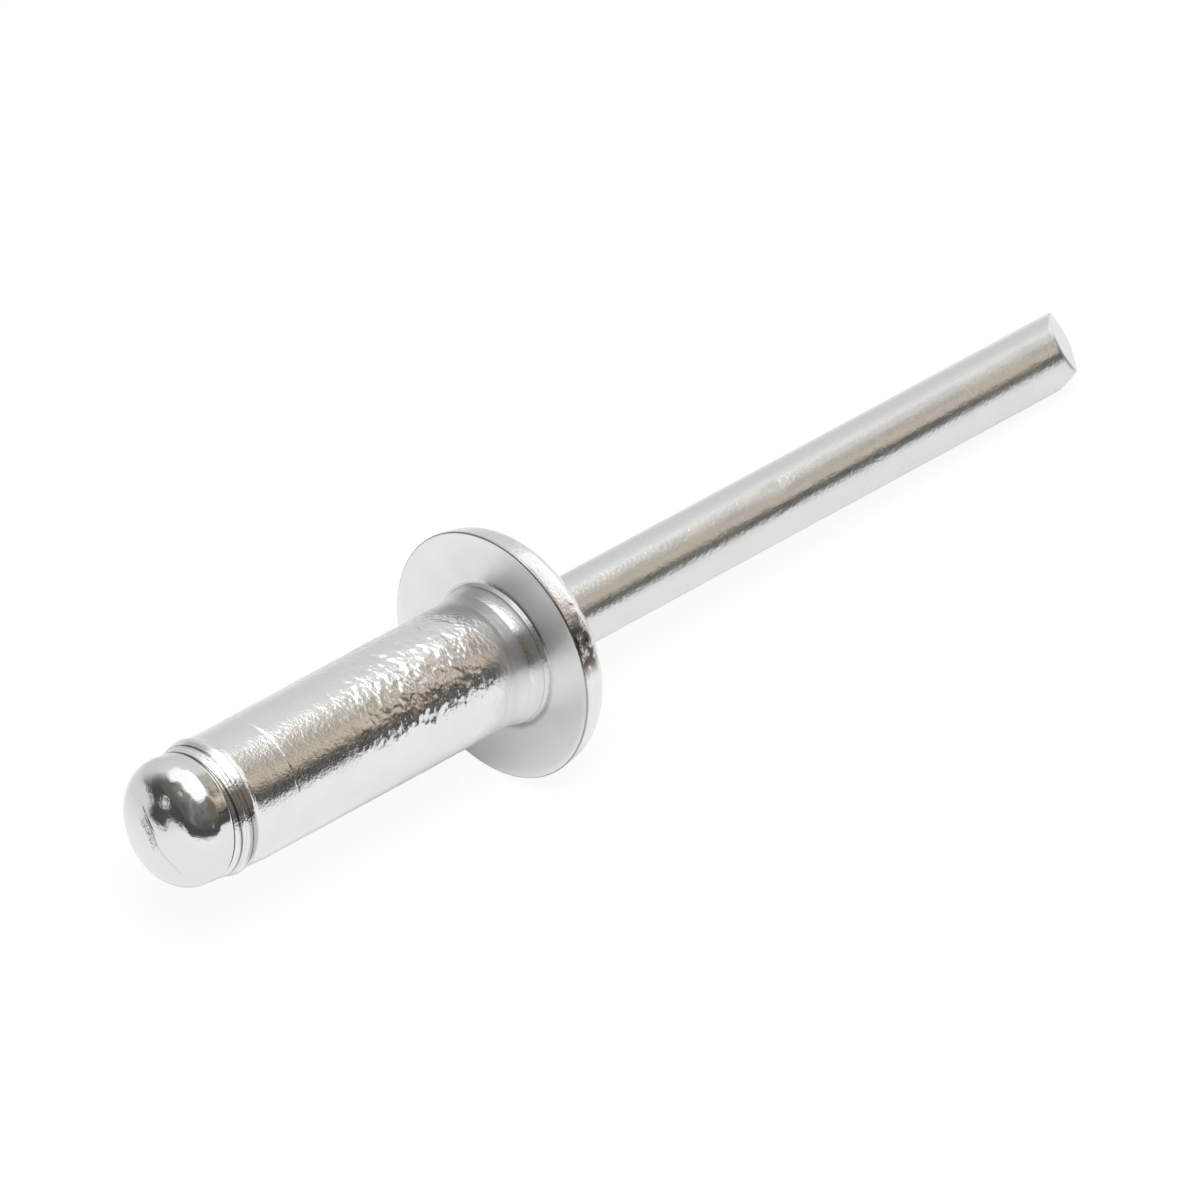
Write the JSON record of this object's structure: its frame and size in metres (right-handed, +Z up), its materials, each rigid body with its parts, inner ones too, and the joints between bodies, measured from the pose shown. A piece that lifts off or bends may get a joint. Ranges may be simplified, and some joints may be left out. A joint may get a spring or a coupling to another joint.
{
  "type": "blind rivet",
  "caption": "Open-end blind rivet before setting: an aluminium sleeve with a domed flange, held on a steel break-stem mandrel, lying on its flange rim and stem tip.",
  "frame": {"origin": "the centre of the box that the lying rivet fills, on the ground under it", "axes": "+X along the rivet from the mandrel's head toward the stem's tip, +Z up; the rivet's own axis leans 6.6 degrees down toward the tip, as it comes to rest on its rim and tip"},
  "size_m": [0.0456, 0.0092, 0.0092],
  "materials": {
    "sleeve": "bright drawn aluminium with an orange-peel surface, satin under the flange",
    "mandrel": "zinc-plated steel, smooth and slightly cool"
  },
  "bodies": {
    "root": {"sleeve": "sleeve", "mandrel": "mandrel"}
  },
  "joints": []
}
